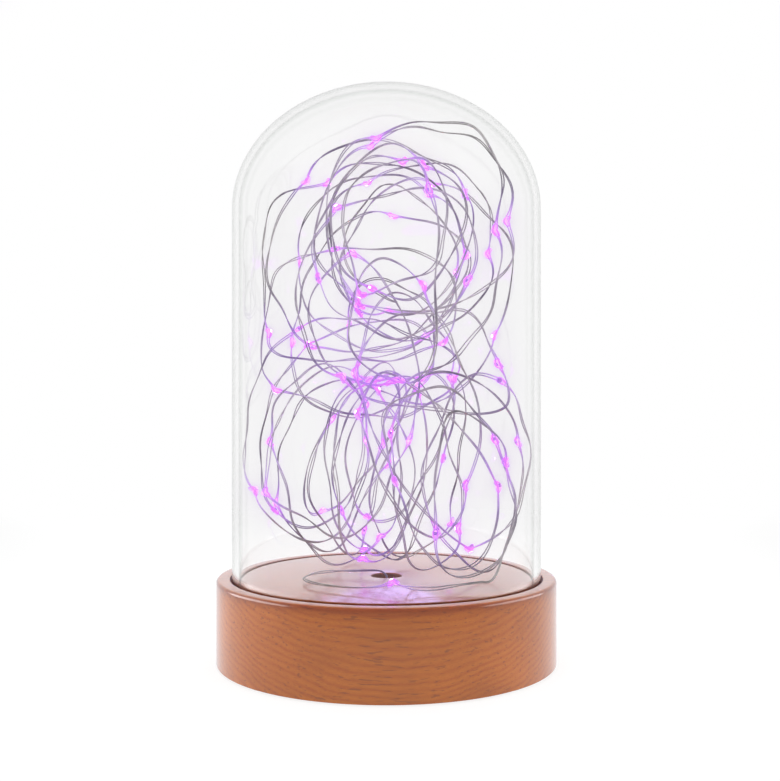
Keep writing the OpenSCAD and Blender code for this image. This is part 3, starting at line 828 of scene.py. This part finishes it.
def dress_chips(chips):
    """Chips shine from the outer face and have a pale ceramic body."""
    dress(chips, lit_chip())
    chips.data.materials.append(moulded_plastic("chip_ceramic", (0.55, 0.54, 0.5), (0.68, 0.67, 0.63), 0.5))
    per_chip = len(chips.data.polygons) // LED_COUNT
    for face in chips.data.polygons:
        face.material_index = 0 if face.index % per_chip == per_chip - 1 else 1


# Pieces

def add_base():
    """Turned base: rounded rim, groove for the glass, wire hole, hollow and recess below."""
    sharp = 0.25
    hole_edge = 0.5
    groove_edge = 0.4
    arc_steps = 5
    segments = 256
    corners = [
        (HOLE_R, CEILING_Z, sharp), (HOLE_R, RIM_Z, hole_edge), (GROOVE_IN_R, RIM_Z, groove_edge),
        (GROOVE_IN_R, GROOVE_Z, sharp), (GROOVE_OUT_R, GROOVE_Z, sharp), (GROOVE_OUT_R, RIM_Z, groove_edge),
        (BASE_R, RIM_Z, EDGE_R), (BASE_R, FOOT_H, sharp), (RECESS_R, FOOT_H, sharp),
        (RECESS_R, LEDGE_Z, sharp), (HOLLOW_R, LEDGE_Z, sharp), (HOLLOW_R, CEILING_Z, sharp)]
    base = lathe("turned_base", rounded(corners, arc_steps), segments)
    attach(base, "base")
    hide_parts("wood_base")
    dress(base, beech())
    return base


def glass_face(r, crown_h):
    """One face of the glass from the bottom up; rings close to the wall's ends keep its shading straight."""
    steps = 48
    wall_steps = 8
    above_edge = 0.3
    below_crown = 0.5
    low = GROOVE_Z + GLASS_T / 2 + above_edge
    high = SPRING_Z - below_crown
    wall = [(r, low + (high - low) * k / wall_steps) for k in range(wall_steps + 1)]
    angles = [math.pi / 2 * k / steps for k in range(steps + 1)]
    return wall + [(r * math.cos(a), SPRING_Z + crown_h * math.sin(a)) for a in angles]


def add_dome():
    """Blown glass dome with a fire-polished edge."""
    edge_r = GLASS_T / 2
    edge_steps = 8
    segments = 192
    middle_r = GLASS_R - edge_r
    middle_z = GROOVE_Z + edge_r
    angles = [math.pi * k / edge_steps for k in range(edge_steps + 1)]
    edge = [(middle_r - edge_r * math.cos(a), middle_z - edge_r * math.sin(a)) for a in angles]
    outside = glass_face(GLASS_R, CROWN_H)
    inside = glass_face(GLASS_R - GLASS_T, CROWN_H - GLASS_T)
    dome = lathe("cloche_glass", edge + outside + inside[::-1], segments)
    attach(dome, "dome")
    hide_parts("glass_dome")
    dress(dome, clear_glass())


def spring_path(y, s):
    """Tapered spring with a closed turn at its wide end."""
    plate_x = 28.15
    cell_x = 21.95
    centre_z = 11.15
    turns = 4.0
    count = 160
    wide_r = 4.6
    taper = 1.7
    closed = 0.2
    open_share = 0.7
    f = np.linspace(0, 1, count)
    a = 2 * np.pi * turns * f
    reach = np.clip((f - closed) / open_share, 0, 1)
    r = wide_r - taper * f
    x = plate_x + (cell_x - plate_x) * reach
    return np.stack([s * x, y + r * np.cos(a), centre_z + r * np.sin(a)], 1)


def add_inner_wires(wire_material):
    """Springs, leads and the stretch of the string inside the base."""
    per_span = 8
    spring_sides = 10
    lead_sides = 12
    strand_sides = 8
    off_middle = 0.24
    springs = add_tubes("coil_springs", [spring_path(y, s) for y, s in SPRING_ROWS], SPRING_D, spring_sides)
    red = add_tubes("red_wire", [spans(RED_ROUTE, per_span)], LEAD_D, lead_sides)
    black = add_tubes("black_wire", [spans(BLACK_ROUTE, per_span)], LEAD_D, lead_sides)
    inner = spans(STRING_ROUTE, per_span)
    side, _ = side_frames(inner)
    pair = [inner + off_middle * side, inner - off_middle * side]
    string = add_tubes("inner_string", pair, STRAND_D, strand_sides)
    plate = plated_metal("spring_plate", (0.5, 0.5, 0.48), (0.75, 0.75, 0.72), 0.3)
    red_cover = moulded_plastic("red_insulation", (0.42, 0.02, 0.02), (0.55, 0.03, 0.03), 0.4)
    black_cover = moulded_plastic("black_insulation", (0.015, 0.015, 0.015), (0.03, 0.03, 0.03), 0.4)
    parts = [
        (springs, "battery_springs", "contact_metal", plate),
        (red, "red_lead", "red_insulation", red_cover),
        (black, "black_lead", "black_insulation", black_cover),
        (string, "string_lead", "string_wire", wire_material)]
    for piece, node, slot, material in parts:
        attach(piece, "base")
        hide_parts(node)
        dress(piece, material)


def dress_solids():
    """Finishes of the solids that stay in view: the housing and what it holds."""
    housing = moulded_plastic("housing_plastic", (0.02, 0.02, 0.022), (0.035, 0.035, 0.038), 0.52)
    steel = plated_metal("screw_plate", (0.45, 0.45, 0.46), (0.68, 0.68, 0.7), 0.3)
    contact = plated_metal("contact_plate", (0.55, 0.54, 0.5), (0.8, 0.79, 0.75), 0.26)
    chip = moulded_plastic("chip_plastic", (0.012, 0.012, 0.013), (0.025, 0.025, 0.027), 0.45)
    cell = cell_case()
    finishes = {
        "foot_pads": moulded_plastic("pad_silicone", (0.74, 0.74, 0.72), (0.86, 0.86, 0.84), 0.45),
        "bottom_housing": housing, "battery_door": housing, "switch_knob": chip,
        "housing_screws": steel, "board_screws": steel,
        "aa_cell_1": cell, "aa_cell_2": cell, "aa_cell_3": cell,
        "contact_plates": contact, "switch_body": contact, "switch_pins": contact,
        "control_board": board_laminate(), "driver_chip": chip, "board_resistors": chip,
        "board_capacitor": plated_metal("capacitor_can", (0.05, 0.07, 0.11), (0.09, 0.12, 0.17), 0.4),
        "string_sleeve": moulded_plastic("sleeve_plastic", (0.02, 0.02, 0.02), (0.04, 0.04, 0.04), 0.5)}
    for node, material in finishes.items():
        dress(NODES[node], material)


# Stage

def add_floor():
    """Plain pale floor, white behind the object and greyer at the sides; seen from below it is clear."""
    half = 4000
    floor_z = -0.2
    near = 0.12
    far = 0.5
    corners = [(-half, -half, floor_z), (half, -half, floor_z), (half, half, floor_z), (-half, half, floor_z)]
    floor = add_mesh("floor", corners, [(0, 1, 2, 3)])
    material, tree, shader = new_material("pale_floor")
    coords = object_coords(tree)
    distance = add_node(tree, "VectorMath", operation="LENGTH")
    tree.links.new(coords, distance.inputs[0])
    away = share_of(tree, distance.outputs["Value"], near, far, interpolation_type="SMOOTHSTEP")
    way = add_node(tree, "VectorMath", operation="NORMALIZE")
    tree.links.new(coords, way.inputs[0])
    studio = ramp(tree, along_axis(tree, way.outputs["Vector"], "Y"), STUDIO_SHADES)
    glow = mix_colour(tree, away, (0.84, 0.84, 0.84), studio)
    tree.links.new(glow, shader.inputs["Emission Color"])
    paint = mix_colour(tree, away, (0.18, 0.18, 0.18), (0.0, 0.0, 0.0))
    tree.links.new(paint, shader.inputs["Base Color"])
    put(shader, Roughness=1.0, Specular__IOR__Level=0.0, Emission__Strength=1.0)
    mix_clear(tree, shader, add_node(tree, "NewGeometry").outputs["Backfacing"], (1, 1, 1))
    dress(floor, material)


def add_area(name, place, target, size, watts, colour=(1, 1, 1), only=None):
    """Soft lamp that isn't mirrored, or one that lights a single piece and is mirrored in it."""
    data = bpy.data.lights.new(name, "AREA")
    data.shape = "ELLIPSE" if only else "RECTANGLE"
    data.size, data.size_y = size
    data.energy = watts
    data.color = colour
    lamp = bpy.data.objects.new(name, data)
    lamp.location = place
    way = np.array(target, float) - np.array(place, float)
    lamp.rotation_euler = (math.atan2(math.hypot(way[0], way[1]), -way[2]), 0, math.atan2(-way[0], way[1]))
    lamp.visible_camera = False
    lamp.visible_transmission = False
    lamp.visible_glossy = only is not None
    if only:
        lit = bpy.data.collections.new(name)
        lit.objects.link(only)
        lamp.light_linking.receiver_collection = lit
    bpy.context.scene.collection.objects.link(lamp)


def add_world():
    """Studio that is white behind the object and greyer elsewhere, so that glass edges show."""
    world = bpy.data.worlds.new("studio")
    world.use_nodes = True
    bpy.context.scene.world = world
    tree = world.node_tree
    way = add_node(tree, "TexCoord").outputs["Generated"]
    background = tree.nodes["Background"]
    tree.links.new(ramp(tree, along_axis(tree, way, "Y"), STUDIO_SHADES), background.inputs["Color"])
    put(background, Strength=1.0)


def add_lights(base):
    """Studio lamps, two of them for the sides of the base, and a small one for the string's light on it."""
    middle = (0, 0, 0.09)
    add_area("key_light", (-0.55, -0.75, 0.75), middle, size=(0.5, 0.5), watts=2.4)
    add_area("fill_light", (0.7, -0.6, 0.5), middle, size=(0.4, 0.6), watts=1.5)
    add_area("left_light", (-0.9, 0.05, 0.2), middle, size=(1.0, 0.8), watts=9.0, only=base)
    add_area("right_light", (0.9, 0.05, 0.2), middle, size=(1.0, 0.8), watts=6.6, only=base)
    add_area("top_light", (0, 0.1, 1.0), middle, size=(0.7, 0.7), watts=5.5)
    add_area("led_light", (0, 0.046, 0.058), (0, -0.03, 0.03), size=(0.1, 0.06), watts=0.03,
        colour=(0.46, 0.4, 1.0), only=base)


def picture_node(tree, kind, **settings):
    return add_node(tree, kind, "CompositorNode", **settings)


def add_halo(tree, mask, image, reach, strength, colour):
    """Tints the picture around the lit drops, out to a reach in pixels."""
    blur = picture_node(tree, "Blur", filter_type="FAST_GAUSS")
    blur.inputs["Size"].default_value = [reach] * len(blur.inputs["Size"].default_value)
    tree.links.new(mask, blur.inputs["Image"])
    gain = picture_node(tree, "Math", operation="MULTIPLY", use_clamp=True)
    gain.inputs[1].default_value = strength
    tree.links.new(blur.outputs["Image"], gain.inputs[0])
    tint = picture_node(tree, "MixRGB", blend_type="MULTIPLY")
    tint.inputs[2].default_value = (*colour, 1)
    tree.links.new(gain.outputs["Value"], tint.inputs[0])
    tree.links.new(image, tint.inputs[1])
    return tint.outputs["Image"]


def add_glow():
    """Soft halos: what is more red and blue than green, the lit drops, tints what lies near it."""
    scene = bpy.context.scene
    scene.use_nodes = True
    tree = scene.node_tree
    image = tree.nodes["Render Layers"].outputs["Image"]
    split = picture_node(tree, "SeparateColor")
    tree.links.new(image, split.inputs["Image"])
    lower = picture_node(tree, "Math", operation="MINIMUM")
    tree.links.new(split.outputs["Red"], lower.inputs[0])
    tree.links.new(split.outputs["Blue"], lower.inputs[1])
    pink = picture_node(tree, "Math", operation="SUBTRACT", use_clamp=True)
    tree.links.new(lower.outputs["Value"], pink.inputs[0])
    tree.links.new(split.outputs["Green"], pink.inputs[1])
    mask = pink.outputs["Value"]
    near = add_halo(tree, mask, image, reach=8.0, strength=1.8, colour=(0.84, 0.7, 1.0))
    wide = add_halo(tree, mask, near, reach=40.0, strength=4.4, colour=(0.9, 0.81, 0.95))
    tree.links.new(wide, tree.nodes["Composite"].inputs["Image"])
    scene.view_settings.view_transform = "Standard"
    scene.view_settings.look = "None"


add_camera()
wire, drops, chips = add_string()
wire_material = tinned_wire()
dress(wire, wire_material)
dress(drops, lit_resin())
dress_chips(chips)
base = add_base()
add_dome()
add_inner_wires(wire_material)
dress_solids()
add_floor()
add_world()
add_lights(base)
add_glow()
